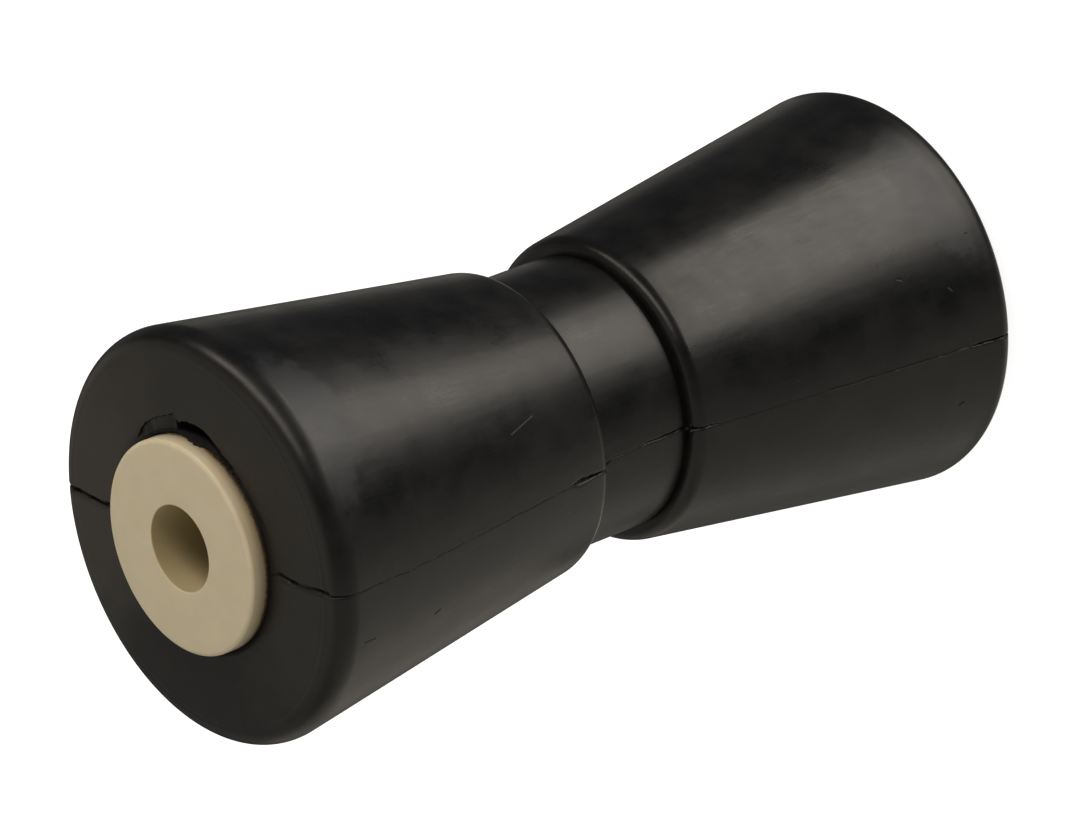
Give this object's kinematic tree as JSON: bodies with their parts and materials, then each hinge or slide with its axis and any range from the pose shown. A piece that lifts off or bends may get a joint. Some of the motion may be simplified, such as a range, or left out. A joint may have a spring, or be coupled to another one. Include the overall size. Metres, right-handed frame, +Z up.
{
  "type": "boat trailer roller",
  "caption": "Hourglass keel roller for a boat trailer: rubber moulded on a plain nylon tube that turns on a spindle.",
  "frame": {"origin": "centre of the lower end face of the nylon tube, on which the roller stands", "axes": "+Z up along the roller's axis; the mould's parting plane is the XZ plane"},
  "size_m": [0.0936, 0.0936, 0.2095],
  "materials": {
    "rubber": "moulded, satin black",
    "nylon": "moulded, matt cream"
  },
  "bodies": {
    "root": {"roller_body": "rubber", "core_bush": "nylon"}
  },
  "joints": []
}
